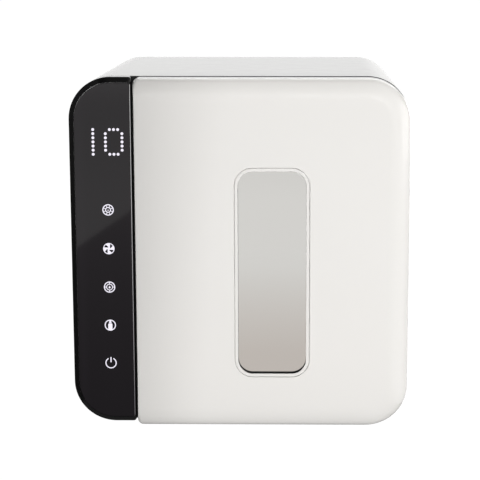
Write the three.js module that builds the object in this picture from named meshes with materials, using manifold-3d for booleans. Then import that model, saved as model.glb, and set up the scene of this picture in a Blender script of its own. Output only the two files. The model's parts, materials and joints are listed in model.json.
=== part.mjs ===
// A countertop ultraviolet bottle sterilizer: a rounded white case with a black touch panel on its
// left and a hinged door with a mirrored window on its right. Behind the door is a steel chamber
// with a bottle rack and a shelf; a filtered fan and heater dry what stands in it.
// Millimetres, +Z up, front towards -Y. The origin is on the table, under the middle of the case.
import * as THREE from "three";
import { mergeVertices } from "three/addons/utils/BufferGeometryUtils.js";
import Module from "manifold-3d";

const wasm = await Module();
wasm.setup();

// ---------------------------------------------------------------- driving dimensions
const CASE = { left: -160, right: 160, bottom: 3, top: 336, corner: 40 };
const WALL = 2.5; // plastic wall
const GAP = 0.3; // between pieces that touch
const SHEET = 1; // steel sheet

// Planes from front to back.
const DOOR_FRONT = -155;
const PANEL_FRONT = -140;
const COVER_BACK = -133; // back edge of the white door cover
const LINER_BACK = -129; // back face of the door
const FRAME_FRONT = -127.5; // face that the door closes against
const WRAP_FRONT = -125.7;
const FRAME_BACK = -123;
const CHAMBER_END = 94;
const WRAP_BACK = 146;
const CASE_BACK = 150;
const OUTERMOST_BACK = 152;

const PAST = 1; // how far a cutter reaches past what it cuts

const DOOR_LEFT = -98;
const DOOR_SMALL_CORNER = 9;
const DOOR_INSIDE = { wall: 4.5, round: 5.5, small: 5 }; // the cover's thick edge walls
// The door's face falls away to its edges in a quarter ellipse, which is narrow on the left.
const CROWN = { wide: 20, deep: 9, leftShare: 0.07, tighten: 0.4 };
const PANEL_RIGHT = -100.6;
const PANEL_FILLET = 5;

// The chamber's mouth, and the steel liner a sheet's width outside it.
const MOUTH = { left: -84, right: 138, bottom: 26, top: 318, corner: 8 };
const MIDDLE_X = (MOUTH.left + MOUTH.right) / 2;

// The door turns about a vertical line near its right edge.
const HINGE = { x: 150, y: -139, round: 10, pin: 2.5, bore: 2.85 };
// Each arm stands to the left of the hinge line. Where it leaves the fully open door's edge it is
// less than swing in front of that line, so its slot stays behind the door's crowned face.
const HINGE_ARM = { end: 5.8, thick: 3, slack: 0.8, swing: 3.1, room: 0.6 };
const HINGE_HEIGHTS = { upper: 284, lower: 55 };

// The window, seen from the front.
const WINDOW = { left: -4.4, right: 66.2, bottom: 52.4, top: 252.8, corner: 17 };
const WINDOW_RIM = 3.3;
const SEAL_LIP = 1.7; // how much of the window's seal the rim covers

// Lit signs on the touch panel.
const SIGN_X = -124;
const SIGN_TOP = 210.7;
const SIGN_PITCH = 37.25;
const SIGN_COUNT = 5;
const DISPLAY = { x: -125.5, z: 274.4, wide: 38, high: 32 };

// Fan, heater and filter stand in one line behind the chamber.
const FAN = {
  x: MIDDLE_X,
  z: 110,
  size: 80,
  front: 106,
  back: 128,
  bore: 38.5,
  tip: 36.5,
  hub: 16,
  strut: 2.5,
  blades: 7,
  blade: { thick: 1.6, chord: 15, pitch: 52 },
};
const HEATER = { duct: 74, wall: 2, back: 105.5, front: 97, deep: 7, half: 34, high: 30, slots: 7 };
const FILTER_SIZE = 84;

const SHELF_HEIGHT = 205.8;
const RAIL = { wide: 8, thick: 1.5, lip: 12, lipThick: 1.2, front: -108, back: 86 };
const UV_BAR = { half: 70, front: -22, back: -4, high: 5 };
const UV_LENS = { inset: 2, high: 2.5 };
const GRILLE = { wide: 56, slot: 3.2, pitch: 7, lower: 8, upper: 4, upperZ: 270 };

// Mains inlet, screws, feet and boards.
const INLET = { x: -125, z: 52, wide: 28, high: 22, corner: 3, front: 130, pin: 4.3 };
const SOCKET = { wide: 19, high: 9.4, corner: 4, front: 136 };
const SCREW = { inset: 22, shank: 1.8, head: 3.6, front: 138 };
const FOOT = { x: 118, front: -88, rear: 110, base: 9.5, radius: 11, chamfer: 1.2 };
const BOARD_THICK = 1.6;

// ---------------------------------------------------------------- materials
const finish = (color, roughness, metalness = 0) =>
  new THREE.MeshStandardMaterial({ color, roughness, metalness });
const WHITE = finish(0xeceae6, 0.25);
const BLACK_GLOSS = finish(0x121113, 0.12);
const BLACK_MATTE = finish(0x1b1b1d, 0.6);
const DARK_GLASS = finish(0x26242a, 0.05);
const MIRROR = finish(0xb4b1ad, 0.06, 1);
const CLEAR = finish(0xdfe6e8, 0.05);
const STEEL = finish(0xc9cacc, 0.18, 1);
const WIRE_STEEL = finish(0xd4d5d8, 0.15, 1);
const RUBBER = finish(0x2a2a2c, 0.85);
const SILICONE = finish(0xb9bbbd, 0.7);
const BOARD = finish(0x1f5a3a, 0.55);
const DIFFUSER = finish(0xf4f2ff, 0.4);
const COPPER = finish(0xb87333, 0.4, 1);
const FOAM = finish(0xe7e9ec, 0.9);

// ---------------------------------------------------------------- solids
const CORNER_STEPS = 7; // segments in a large corner

// Points of a rounded rectangle, anticlockwise from the bottom left corner. corner may be one
// radius or four, in that order. Every inset of one rectangle has the same number of points.
function outline({ left, right, bottom, top, corner }, inset = 0, steps = CORNER_STEPS) {
  const radii = Array.isArray(corner) ? corner : [corner, corner, corner, corner];
  const centres = [
    [left, bottom, 1, 1],
    [right, bottom, -1, 1],
    [right, top, -1, -1],
    [left, top, 1, -1],
  ];
  const points = [];
  centres.forEach(([x, z, dx, dz], i) => {
    const reach = Math.max(radii[i], inset + 0.2);
    const radius = reach - inset;
    for (let k = 0; k <= steps; k++) {
      const angle = Math.PI + (i + k / steps) * (Math.PI / 2);
      points.push(
        new THREE.Vector2(
          x + dx * reach + radius * Math.cos(angle),
          z + dz * reach + radius * Math.sin(angle),
        ),
      );
    }
  });
  return points;
}

// A solid through outlines that all have the same number of points, from front to back.
function loft(levels) {
  const count = levels[0].points.length;
  const positions = levels.flatMap(({ points, y }) => points.flatMap((p) => [p.x, y, p.y]));
  const index = [];
  for (let level = 0; level + 1 < levels.length; level++) {
    for (let k = 0; k < count; k++) {
      const a = level * count + k;
      const b = level * count + ((k + 1) % count);
      index.push(a, a + count, b, b, a + count, b + count);
    }
  }
  const last = (levels.length - 1) * count;
  for (const [a, b, c] of THREE.ShapeUtils.triangulateShape(levels[0].points, [])) {
    index.push(a, b, c);
  }
  for (const [a, b, c] of THREE.ShapeUtils.triangulateShape(levels.at(-1).points, [])) {
    index.push(last + a, last + c, last + b);
  }
  const made = new THREE.BufferGeometry();
  made.setAttribute("position", new THREE.Float32BufferAttribute(positions, 3));
  made.setIndex(index);
  return made;
}

// The closed mesh of a three.js geometry as a solid that can be cut and joined.
function solid(geometry) {
  const bare = geometry.clone();
  bare.deleteAttribute("normal");
  bare.deleteAttribute("uv");
  const merged = mergeVertices(bare, 1e-4);
  return new wasm.Manifold(
    new wasm.Mesh({
      numProp: 3,
      vertProperties: new Float32Array(merged.attributes.position.array),
      triVerts: new Uint32Array(merged.index.array),
    }),
  );
}

const joined = (solids) => solids.reduce((whole, next) => whole.add(next));
const cut = (whole, ...cutters) => cutters.reduce((left, cutter) => left.subtract(cutter), whole);

// A rounded rectangle between two planes.
function slab(rectangle, front, back, inset = 0, steps = CORNER_STEPS) {
  const points = outline(rectangle, inset, steps);
  return solid(loft([{ points, y: front }, { points, y: back }]));
}

// The same with its front edge rounded.
function roundedSlab(rectangle, front, back, fillet, steps = 4) {
  const levels = [];
  for (let k = 0; k <= steps; k++) {
    const angle = (k / steps) * (Math.PI / 2);
    levels.push({
      points: outline(rectangle, fillet * (1 - Math.sin(angle))),
      y: front + fillet * (1 - Math.cos(angle)),
    });
  }
  levels.push({ points: outline(rectangle), y: back });
  return solid(loft(levels));
}

function block([x0, x1], [y0, y1], [z0, z1]) {
  const made = new THREE.BoxGeometry(x1 - x0, y1 - y0, z1 - z0);
  made.translate((x0 + x1) / 2, (y0 + y1) / 2, (z0 + z1) / 2);
  return solid(made);
}

const CYLINDER_AXIS = new THREE.Vector3(0, 1, 0);

// A round bar between two points.
function rod(from, to, radius, sides = 16) {
  const start = new THREE.Vector3(...from);
  const along = new THREE.Vector3(...to).sub(start);
  const made = new THREE.CylinderGeometry(radius, radius, along.length(), sides);
  made.translate(0, along.length() / 2, 0);
  made.applyQuaternion(new THREE.Quaternion().setFromUnitVectors(CYLINDER_AXIS, along.normalize()));
  made.translate(start.x, start.y, start.z);
  return solid(made);
}

const rectangleAt = (x, z, wide, high, corner) => ({
  left: x - wide / 2,
  right: x + wide / 2,
  bottom: z - high / 2,
  top: z + high / 2,
  corner,
});

const group = new THREE.Group();

function add(name, shape, material) {
  const mesh = shape.getMesh();
  const geometry = new THREE.BufferGeometry();
  geometry.setAttribute("position", new THREE.BufferAttribute(mesh.vertProperties, 3));
  geometry.setIndex(new THREE.BufferAttribute(mesh.triVerts, 1));
  geometry.computeVertexNormals();
  const made = new THREE.Mesh(geometry, material);
  made.name = name;
  group.add(made);
}

// ---------------------------------------------------------------- case
const DOOR = {
  ...CASE,
  left: DOOR_LEFT,
  corner: [DOOR_SMALL_CORNER, CASE.corner, CASE.corner, DOOR_SMALL_CORNER],
};
const PANEL = { ...CASE, right: PANEL_RIGHT, corner: [CASE.corner, 3, 3, CASE.corner] };
const hingeHeights = Object.entries(HINGE_HEIGHTS);
const ARM_FIT = 0.4; // room round a hinge arm where it passes through the frame

function addCase() {
  const wrap = cut(
    slab(CASE, WRAP_FRONT, WRAP_BACK),
    slab(CASE, WRAP_FRONT - PAST, WRAP_BACK + PAST, WALL),
  );
  add("housing_wrap", wrap, WHITE);

  // The frame's flange covers the wrap's front edge; its step fits inside the wrap.
  const through = [FRAME_FRONT - PAST, FRAME_BACK + PAST];
  const flange = slab(CASE, FRAME_FRONT, WRAP_FRONT - GAP, GAP);
  const step = slab(CASE, WRAP_FRONT - 2 * GAP, FRAME_BACK, WALL + GAP);
  const armRoom = [HINGE.x - HINGE_ARM.end - ARM_FIT, HINGE.x + ARM_FIT];
  const armSlots = hingeHeights.map(([, z]) =>
    block(armRoom, through, [z - ARM_FIT, z + HINGE_ARM.thick + ARM_FIT]),
  );
  const wiring = slab(rectangleAt(-128, 175, 26, 44, 4), ...through, 0, 3);
  add(
    "front_frame",
    cut(
      joined([flange, step]),
      slab(MOUTH, ...through),
      wiring,
      ...armSlots,
      ...catchPockets(GAP),
    ),
    BLACK_MATTE,
  );
}

// ---------------------------------------------------------------- control panel
const GLASS_INSET = PANEL_FILLET + 0.2;
const GLASS = {
  left: CASE.left + GLASS_INSET,
  right: PANEL_RIGHT - 1.6,
  bottom: CASE.bottom + GLASS_INSET,
  top: CASE.top - GLASS_INSET,
  corner: [CASE.corner - GLASS_INSET, 2, 2, CASE.corner - GLASS_INSET],
};
const GLASS_THICK = 2.2;
const TRAY = { front: -137.4, back: -132.6 };
const ELECTRODE = { radius: 7, bore: 4.5 };
const signHeights = Array.from({ length: SIGN_COUNT }, (_, i) => SIGN_TOP - i * SIGN_PITCH);

function addControlPanel() {
  const seat = PANEL_FRONT + GLASS_THICK + GAP;
  add(
    "control_bezel",
    cut(
      roundedSlab(PANEL, PANEL_FRONT, FRAME_FRONT - GAP, PANEL_FILLET),
      slab(GLASS, PANEL_FRONT - PAST, seat, -GAP),
      slab(GLASS, PANEL_FRONT, FRAME_FRONT + PAST, 2.5),
    ),
    BLACK_GLOSS,
  );
  add("touch_glass", slab(GLASS, PANEL_FRONT, PANEL_FRONT + GLASS_THICK), DARK_GLASS);

  // The tray keeps each light to its own sign and carries the electrodes in its round pockets.
  const { front, back } = TRAY;
  const bar = (z, radius, sides, past = 0) =>
    rod([SIGN_X, front - past, z], [SIGN_X, back + past, z], radius, sides);
  const display = (room, past) =>
    slab(
      rectangleAt(DISPLAY.x, DISPLAY.z, DISPLAY.wide + 2 * room, DISPLAY.high + 2 * room, 1),
      front - past,
      back + past,
      0,
      1,
    );
  const pockets = signHeights.map((z) => bar(z, ELECTRODE.radius + GAP, 20, PAST));
  add("light_tray", cut(slab(GLASS, front, back, 4), display(GAP, PAST), ...pockets), BLACK_MATTE);
  add("display_module", display(0, 0), DIFFUSER);
  signHeights.forEach((z, i) => {
    const ring = cut(bar(z, ELECTRODE.radius, 20), bar(z, ELECTRODE.bore, 12, PAST));
    add(`touch_electrode_${i + 1}`, ring, COPPER);
  });
  add("control_board", slab(GLASS, back + GAP, back + GAP + BOARD_THICK, 5), BOARD);
}

// ---------------------------------------------------------------- chamber
const LINER_IN = -SHEET; // the liner's inside is a sheet's width outside the mouth
const INNER = {
  left: MOUTH.left - SHEET,
  right: MOUTH.right + SHEET,
  bottom: MOUTH.bottom - SHEET,
  top: MOUTH.top + SHEET,
};
const CHAMBER_FRONT = FRAME_BACK + GAP;

function addChamber() {
  add(
    "chamber_wrap",
    cut(
      slab(MOUTH, CHAMBER_FRONT, CHAMBER_END, LINER_IN - SHEET),
      slab(MOUTH, CHAMBER_FRONT - PAST, CHAMBER_END + PAST, LINER_IN),
    ),
    STEEL,
  );

  // Warm air enters through the lower grille and leaves through the upper one.
  const sheet = { front: CHAMBER_END + GAP, back: CHAMBER_END + GAP + SHEET };
  const through = [sheet.front - PAST, sheet.back + PAST];
  const slot = (z) => slab(rectangleAt(MIDDLE_X, z, GRILLE.wide, GRILLE.slot, 1.5), ...through, 0, 2);
  const rows = (count, lowest) => Array.from({ length: count }, (_, i) => slot(lowest + i * GRILLE.pitch));
  add(
    "chamber_back",
    cut(
      slab(MOUTH, sheet.front, sheet.back, LINER_IN - SHEET),
      ...rows(GRILLE.lower, FAN.z - ((GRILLE.lower - 1) / 2) * GRILLE.pitch),
      ...rows(GRILLE.upper, GRILLE.upperZ),
    ),
    STEEL,
  );
  addRails();
  addLamps();
}

function addRails() {
  const top = SHELF_HEIGHT - GAP;
  const span = [RAIL.front, RAIL.back];
  const rail = (x0, x1, lipX) =>
    joined([
      block([x0, x1], span, [top - RAIL.thick, top]),
      block([lipX, lipX + RAIL.lipThick], span, [top - RAIL.lip, top]),
    ]);
  const left = INNER.left + GAP;
  const right = INNER.right - GAP;
  add("shelf_rail_left", rail(left, left + RAIL.wide, left), STEEL);
  add("shelf_rail_right", rail(right - RAIL.wide, right, right - RAIL.lipThick), STEEL);
}

// Ultraviolet bars on the ceiling and on the floor, each under a clear lens.
function addLamps() {
  const span = (inset) => [MIDDLE_X - UV_BAR.half + inset, MIDDLE_X + UV_BAR.half - inset];
  const deep = (inset) => [UV_BAR.front + inset, UV_BAR.back - inset];
  const lamp = (which, surface, away) => {
    const heights = (from, to) => [surface + away * from, surface + away * to].sort((a, b) => a - b);
    const lens = UV_BAR.high + GAP;
    add(`uv_bar_${which}`, block(span(0), deep(0), heights(0, UV_BAR.high)), STEEL);
    add(
      `uv_lens_${which}`,
      block(span(UV_LENS.inset), deep(UV_LENS.inset), heights(lens, lens + UV_LENS.high)),
      CLEAR,
    );
  };
  lamp("upper", INNER.top - GAP, -1);
  lamp("lower", INNER.bottom + GAP, 1);
}

// ---------------------------------------------------------------- drying system
const fanSquare = (size, corner) => rectangleAt(FAN.x, FAN.z, size, size, corner);
const fanRod = (front, back, radius, sides) =>
  rod([FAN.x, front, FAN.z], [FAN.x, back, FAN.z], radius, sides);

function addHeater() {
  const front = CHAMBER_END + SHEET + 2 * GAP;
  add(
    "heater_duct",
    cut(
      slab(fanSquare(HEATER.duct, 3), front, HEATER.back, 0, 2),
      slab(fanSquare(HEATER.duct - 2 * HEATER.wall, 1.5), front - PAST, HEATER.back + PAST, 0, 2),
    ),
    BLACK_MATTE,
  );
  const pitch = 8;
  const slots = Array.from({ length: HEATER.slots }, (_, i) => {
    const z = FAN.z + (i - (HEATER.slots - 1) / 2) * pitch;
    const half = HEATER.half - 5;
    return block(
      [FAN.x - half, FAN.x + half],
      [HEATER.front - PAST, HEATER.front + HEATER.deep + PAST],
      [z - 2.6, z + 2.6],
    );
  });
  const core = block(
    [FAN.x - HEATER.half, FAN.x + HEATER.half],
    [HEATER.front, HEATER.front + HEATER.deep],
    [FAN.z - HEATER.high, FAN.z + HEATER.high],
  );
  add("heater_element", cut(core, ...slots), STEEL);
}

// The fan's square frame, its round bore, the four struts that hold its motor, and its impeller.
function addFan() {
  const shell = cut(
    slab(fanSquare(FAN.size, 5), FAN.front, FAN.back, 0, 3),
    fanRod(FAN.front - PAST, FAN.back + PAST, FAN.bore, 40),
  );
  const strutDepth = [FAN.back - FAN.strut, FAN.back];
  const motor = fanRod(...strutDepth, FAN.hub - 1, 24);
  const reach = FAN.bore + 1;
  const long = (centre) => [centre - reach, centre + reach];
  const thin = (centre) => [centre - 1.5, centre + 1.5];
  const struts = [
    block(long(FAN.x), strutDepth, thin(FAN.z)),
    block(thin(FAN.x), strutDepth, long(FAN.z)),
  ];
  add("fan_frame", joined([shell, motor, ...struts]), BLACK_MATTE);

  const hub = fanRod(FAN.front + 2, FAN.back - FAN.strut - 1, FAN.hub, 28);
  const root = FAN.hub - 1.5;
  const blades = Array.from({ length: FAN.blades }, (_, i) => {
    const length = FAN.tip - root;
    const blade = new THREE.BoxGeometry(length, FAN.blade.thick, FAN.blade.chord);
    blade.translate(root + length / 2, 0, 0);
    blade.rotateX(THREE.MathUtils.degToRad(FAN.blade.pitch));
    blade.rotateY((i / FAN.blades) * Math.PI * 2);
    blade.translate(FAN.x, (FAN.front + FAN.back) / 2 - 1, FAN.z);
    return solid(blade);
  });
  add("fan_impeller", joined([hub, ...blades]), BLACK_MATTE);
}

// The filter pulls out backwards on its louvred cover.
function addFilter() {
  const cover = { front: 147, fillet: 1.5 };
  const pitch = 9;
  const through = [cover.front - PAST, OUTERMOST_BACK + PAST];
  const louvres = Array.from({ length: 7 }, (_, i) =>
    slab(rectangleAt(FAN.x, FAN.z + (i - 3) * pitch, 60, 4, 1.9), ...through, 0, 1),
  );
  add(
    "filter_cover",
    cut(roundedSlabBack(fanSquare(FILTER_SIZE, 6), cover.front, OUTERMOST_BACK, cover.fillet), ...louvres),
    WHITE,
  );
  add("filter_media", slab(fanSquare(FILTER_SIZE - 4, 3), 132, cover.front - GAP, 0, 2), FOAM);
}

// A slab with its back edge rounded.
function roundedSlabBack(rectangle, front, back, fillet, steps = 3) {
  const levels = [{ points: outline(rectangle, 0, 4), y: front }];
  for (let k = steps; k >= 0; k--) {
    const angle = (k / steps) * (Math.PI / 2);
    levels.push({
      points: outline(rectangle, fillet * (1 - Math.sin(angle)), 4),
      y: back - fillet * (1 - Math.cos(angle)),
    });
  }
  return solid(loft(levels));
}

// ---------------------------------------------------------------- rear cover, mains and feet
const REAR_EDGE = [[0, 147.5], [0.6, 149.2], [2.2, CASE_BACK]]; // inset and plane, front to back
const REAR_CUT = [WRAP_BACK - 6, OUTERMOST_BACK + PAST];

function rearScrews() {
  const xs = [CASE.left + SCREW.inset, CASE.right - SCREW.inset];
  const zs = [CASE.bottom + SCREW.inset, CASE.top - SCREW.inset];
  return xs.flatMap((x) => zs.map((z) => ({ x, z })));
}

function addRear() {
  const levels = [{ points: outline(CASE), y: WRAP_BACK + GAP }];
  for (const [inset, y] of REAR_EDGE) {
    levels.push({ points: outline(CASE, inset), y });
  }
  const vents = [];
  for (const x of [MIDDLE_X - 38, MIDDLE_X + 38]) {
    for (let i = 0; i < 6; i++) {
      vents.push(slab(rectangleAt(x, 255 + i * 9, 66, 4, 1.9), ...REAR_CUT, 0, 1));
    }
  }
  const inletHole = rectangleAt(INLET.x, INLET.z, INLET.wide + 2 * GAP, INLET.high + 2 * GAP, INLET.corner);
  const screws = rearScrews();
  const screwRod = ({ x, z }, front, back, radius, sides) =>
    rod([x, front, z], [x, back, z], radius, sides);
  add(
    "rear_cover",
    cut(
      solid(loft(levels)),
      ...vents,
      slab(fanSquare(FILTER_SIZE + 0.8, 6.4), ...REAR_CUT, 0, 4),
      slab(inletHole, ...REAR_CUT, 0, 3),
      ...screws.map((screw) => screwRod(screw, ...REAR_CUT, SCREW.shank + 0.4, 10)),
    ),
    WHITE,
  );
  screws.forEach((screw, i) => {
    const under = CASE_BACK + GAP;
    const shank = screwRod(screw, SCREW.front, under + 0.1, SCREW.shank, 8);
    const head = screwRod(screw, under, CASE_BACK + 1.7, SCREW.head, 14);
    add(`rear_screw_${i + 1}`, joined([shank, head]), STEEL);
  });
}

function addInlet() {
  const { x, z, wide, high, corner } = INLET;
  const mouth = rectangleAt(x, z, SOCKET.wide, SOCKET.high, SOCKET.corner);
  const socket = slab(mouth, SOCKET.front, CASE_BACK + PAST);
  const pins = [-INLET.pin, INLET.pin].map((dx) =>
    rod([x + dx, SOCKET.front - 2, z], [x + dx, SOCKET.front + 8, z], 1.2, 8),
  );
  const housing = slab(rectangleAt(x, z, wide, high, corner), INLET.front, CASE_BACK, 0, 3);
  add("mains_inlet", joined([cut(housing, socket), ...pins]), BLACK_MATTE);
}

function addElectrics() {
  const boardLeft = CASE.left + 10;
  add("power_board", block([boardLeft, boardLeft + BOARD_THICK], [-70, 90], [70, 230]), BOARD);
  add("transformer", slab(rectangleAt(-129, 110, 36, 44, 3), 10, 52, 0, 2), BLACK_MATTE);
  add("door_sensor", block([-96.5, -88], [FRAME_BACK + GAP, FRAME_BACK + 11], [302, 312]), BLACK_MATTE);
}

function addFeet() {
  const high = CASE.bottom - GAP;
  const profile = [
    [0, 0],
    [FOOT.base, 0],
    [FOOT.radius, FOOT.chamfer],
    [FOOT.radius, high],
    [0, high],
  ];
  for (const [side, x] of [["left", -FOOT.x], ["right", FOOT.x]]) {
    for (const end of ["front", "rear"]) {
      const foot = new THREE.LatheGeometry(profile.map((point) => new THREE.Vector2(...point)), 20);
      foot.rotateX(Math.PI / 2);
      foot.translate(x, FOOT[end], 0);
      add(`foot_${end}_${side}`, solid(foot), RUBBER);
    }
  }
}

// ---------------------------------------------------------------- hinges and catches
const CATCH = { x: -93.8, half: 2.7, high: 30, thick: 1.9, centres: { upper: 268, lower: 74 } };
const catchEntries = Object.entries(CATCH.centres);
const HINGE_LUG = { left: 141.8, right: 156.4, thick: 2, reach: 14 }; // behind the frame, for its screws
const HINGE_BLOCK = { left: 143, right: 153.5, front: -147.7, web: -145.5, reach: 12 };

// A block at one catch, grown by some room.
const catchBlock = (depths, z, room = 0) =>
  block(
    [CATCH.x - CATCH.half - room, CATCH.x + CATCH.half + room],
    depths,
    [z - CATCH.high / 2 - room, z + CATCH.high / 2 + room],
  );

const catchPockets = (room) =>
  catchEntries.map(([, z]) =>
    catchBlock([FRAME_FRONT - PAST, FRAME_FRONT + GAP + CATCH.thick + room], z, room),
  );

function addHinges() {
  for (const [which, z] of hingeHeights) {
    const top = z + HINGE_ARM.thick;
    const pinRod = (reach, radius, sides) =>
      rod([HINGE.x, HINGE.y, z - reach], [HINGE.x, HINGE.y, top + reach], radius, sides);
    const lugFront = FRAME_BACK + GAP;
    const lugBack = lugFront + HINGE_LUG.thick;
    const arm = joined([
      block([HINGE.x - HINGE_ARM.end, HINGE.x], [HINGE.y, lugBack - GAP], [z, top]),
      pinRod(0, HINGE_ARM.end, 24),
      block(
        [HINGE_LUG.left, HINGE_LUG.right],
        [lugFront, lugBack],
        [z - HINGE_LUG.reach, top + HINGE_LUG.reach],
      ),
    ]);
    add(`hinge_bracket_${which}`, cut(arm, pinRod(PAST, HINGE.pin + GAP, 20)), STEEL);
    add(`hinge_pin_${which}`, pinRod(HINGE_BLOCK.reach - 1, HINGE.pin, 16), STEEL);

    // The door's bearing block reaches over and under the arm, joined by a web in front of it.
    const bearing = block(
      [HINGE_BLOCK.left, HINGE_BLOCK.right],
      [HINGE_BLOCK.front, COVER_BACK - GAP],
      [z - HINGE_BLOCK.reach, top + HINGE_BLOCK.reach],
    );
    const armRoom = block(
      [HINGE_BLOCK.left - PAST, HINGE_BLOCK.right + PAST],
      [HINGE_BLOCK.web, COVER_BACK],
      [z - HINGE_ARM.slack, top + HINGE_ARM.slack],
    );
    add(
      `hinge_block_${which}`,
      cut(bearing, armRoom, pinRod(HINGE_BLOCK.reach + PAST, HINGE.bore, 20)),
      DIFFUSER,
    );
  }
}

function addCatches() {
  for (const [which, z] of catchEntries) {
    const plate = [FRAME_FRONT + GAP, FRAME_FRONT + GAP + CATCH.thick];
    const magnet = [COVER_BACK + 0.5, LINER_BACK - 1.1];
    add(`catch_plate_${which}`, catchBlock(plate, z), STEEL);
    add(`door_magnet_${which}`, catchBlock(magnet, z), BLACK_MATTE);
  }
}

// ---------------------------------------------------------------- door
const LINER_FRONT = COVER_BACK + GAP;
const GASKET = { in: 1.8, wide: 3, groove: 1.8 };

// What rounds the door's back right edge about the hinge line, so that it turns clear of the frame.
function edgeRelief() {
  const past = 20;
  const { x, y, round } = HINGE;
  const corner = block([x, x + past], [y, y + past], [CASE.bottom - PAST, CASE.top + PAST]);
  const kept = rod([x, y, CASE.bottom - 2 * PAST], [x, y, CASE.top + 2 * PAST], round, 48);
  return cut(corner, kept);
}

// Room in the door for each arm's round end, and for the arm itself as the door turns.
function hingeSlots() {
  const end = HINGE_ARM.end + HINGE_ARM.room;
  return hingeHeights.flatMap(([, z]) => {
    const heights = [z - HINGE_ARM.slack, z + HINGE_ARM.thick + HINGE_ARM.slack];
    return [
      block([HINGE.x - end, HINGE.x + end], [HINGE.y - end, LINER_BACK + PAST], heights),
      block([HINGE.x, CASE.right + PAST], [HINGE.y - HINGE_ARM.swing, LINER_BACK + PAST], heights),
    ];
  });
}

// The door's outside, with its crowned face.
function crownedDoor(steps = 6) {
  const levels = [];
  for (let k = 0; k <= steps; k++) {
    const angle = (k / steps) * (Math.PI / 2);
    const inset = CROWN.wide * (1 - Math.sin(angle));
    const small = Math.max(DOOR_SMALL_CORNER - CROWN.tighten * inset, 1);
    const large = CASE.corner - inset;
    const rectangle = {
      left: DOOR.left + CROWN.leftShare * inset,
      right: DOOR.right - inset,
      bottom: DOOR.bottom + inset,
      top: DOOR.top - inset,
      corner: [small, large, large, small],
    };
    levels.push({ points: outline(rectangle), y: DOOR_FRONT + CROWN.deep * (1 - Math.cos(angle)) });
  }
  levels.push({ points: outline(DOOR), y: COVER_BACK });
  return solid(loft(levels));
}

// The door's inside: its walls are thicker where the face falls away.
function doorHollow() {
  const { wall, small } = DOOR_INSIDE;
  const large = CASE.corner - wall;
  return {
    left: DOOR.left + WALL,
    right: DOOR.right - wall,
    bottom: DOOR.bottom + wall,
    top: DOOR.top - wall,
    corner: [small, large, large, small],
  };
}

function addDoor() {
  const relief = edgeRelief();
  const slots = hingeSlots();
  add(
    "door_cover",
    cut(
      crownedDoor(),
      roundedSlab(doorHollow(), DOOR_FRONT + WALL, COVER_BACK + PAST, DOOR_INSIDE.round, 3),
      slab(WINDOW, DOOR_FRONT - PAST, DOOR_FRONT + WALL + PAST),
      relief,
      ...slots,
    ),
    WHITE,
  );

  const magnets = catchEntries.map(([, z]) =>
    catchBlock([LINER_FRONT - PAST, LINER_BACK - 0.8], z, GAP),
  );
  const groove = cut(
    slab(MOUTH, LINER_BACK - GASKET.groove, LINER_BACK + PAST, -(GASKET.in + GASKET.wide) - GAP),
    slab(MOUTH, LINER_BACK - GASKET.groove - PAST, LINER_BACK + 2 * PAST, -GASKET.in + GAP),
  );
  add(
    "door_liner",
    cut(
      slab(DOOR, LINER_FRONT, LINER_BACK, 1.5),
      slab(WINDOW, LINER_FRONT - PAST, LINER_BACK + PAST, WINDOW_RIM),
      groove,
      relief,
      ...slots,
      ...magnets,
    ),
    BLACK_MATTE,
  );
  add(
    "door_reflector",
    cut(
      slab(MOUTH, LINER_BACK + GAP, LINER_BACK + GAP + SHEET, 2),
      slab(WINDOW, LINER_BACK, LINER_BACK + SHEET + PAST, WINDOW_RIM + 1),
    ),
    STEEL,
  );
  const gasketFront = LINER_BACK - GASKET.groove + GAP;
  add(
    "door_gasket",
    cut(
      slab(MOUTH, gasketFront, FRAME_FRONT - GAP, -(GASKET.in + GASKET.wide)),
      slab(MOUTH, gasketFront - PAST, FRAME_FRONT + PAST, -GASKET.in),
    ),
    SILICONE,
  );
}

// The bezel snaps in behind the door's skin. The glass is set back in it, behind a black seal.
function addWindow() {
  const rim = { front: DOOR_FRONT + 0.3, back: DOOR_FRONT + 5.9 };
  const snap = { front: DOOR_FRONT + WALL + GAP, back: DOOR_FRONT + WALL + GAP + 1.3 };
  const seal = { front: DOOR_FRONT + 1.3, back: DOOR_FRONT + 2.7 };
  const glass = { front: seal.back + GAP, back: seal.back + GAP + 2.7 };
  const pocket = WINDOW_RIM - SEAL_LIP;
  add(
    "window_bezel",
    cut(
      joined([
        slab(WINDOW, rim.front, rim.back, GAP),
        slab(WINDOW, snap.front, snap.back, -4),
      ]),
      slab(WINDOW, rim.front - PAST, rim.back + PAST, WINDOW_RIM),
      slab(WINDOW, seal.front - GAP, rim.back + PAST, pocket),
    ),
    WHITE,
  );
  add(
    "window_seal",
    cut(
      slab(WINDOW, seal.front, seal.back, pocket + GAP),
      slab(WINDOW, seal.front - PAST, seal.back + PAST, WINDOW_RIM),
    ),
    RUBBER,
  );
  add("window_glass", slab(WINDOW, glass.front, glass.back, pocket + GAP), MIRROR);
  add(
    "window_inner_pane",
    slab(WINDOW, LINER_FRONT - GAP - 2, LINER_FRONT - GAP, WINDOW_RIM - 4),
    CLEAR,
  );
}

// ---------------------------------------------------------------- racks
const WIRE = 1.5; // radius of the thin wire
const RIM_WIRE = 2;
const RACK = {
  left: MIDDLE_X - 102,
  right: MIDDLE_X + 102,
  front: -104,
  back: 76,
  base: 40,
  rim: 84,
  along: 7, // wires from front to back
  across: 3, // wires from side to side
};
const LEG_INSET = 10;
const LEG_WIRE = 1.8;
const LAP = 0.4; // how far crossing wires are from level with each other
const wire = (from, to, radius = WIRE) => rod(from, to, radius, 5);

const spaced = (from, to, count) => {
  return Array.from({ length: count }, (_, i) => from + ((to - from) * i) / (count - 1));
};
const between = (from, to, count) => spaced(from, to, count + 2).slice(1, -1);

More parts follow.
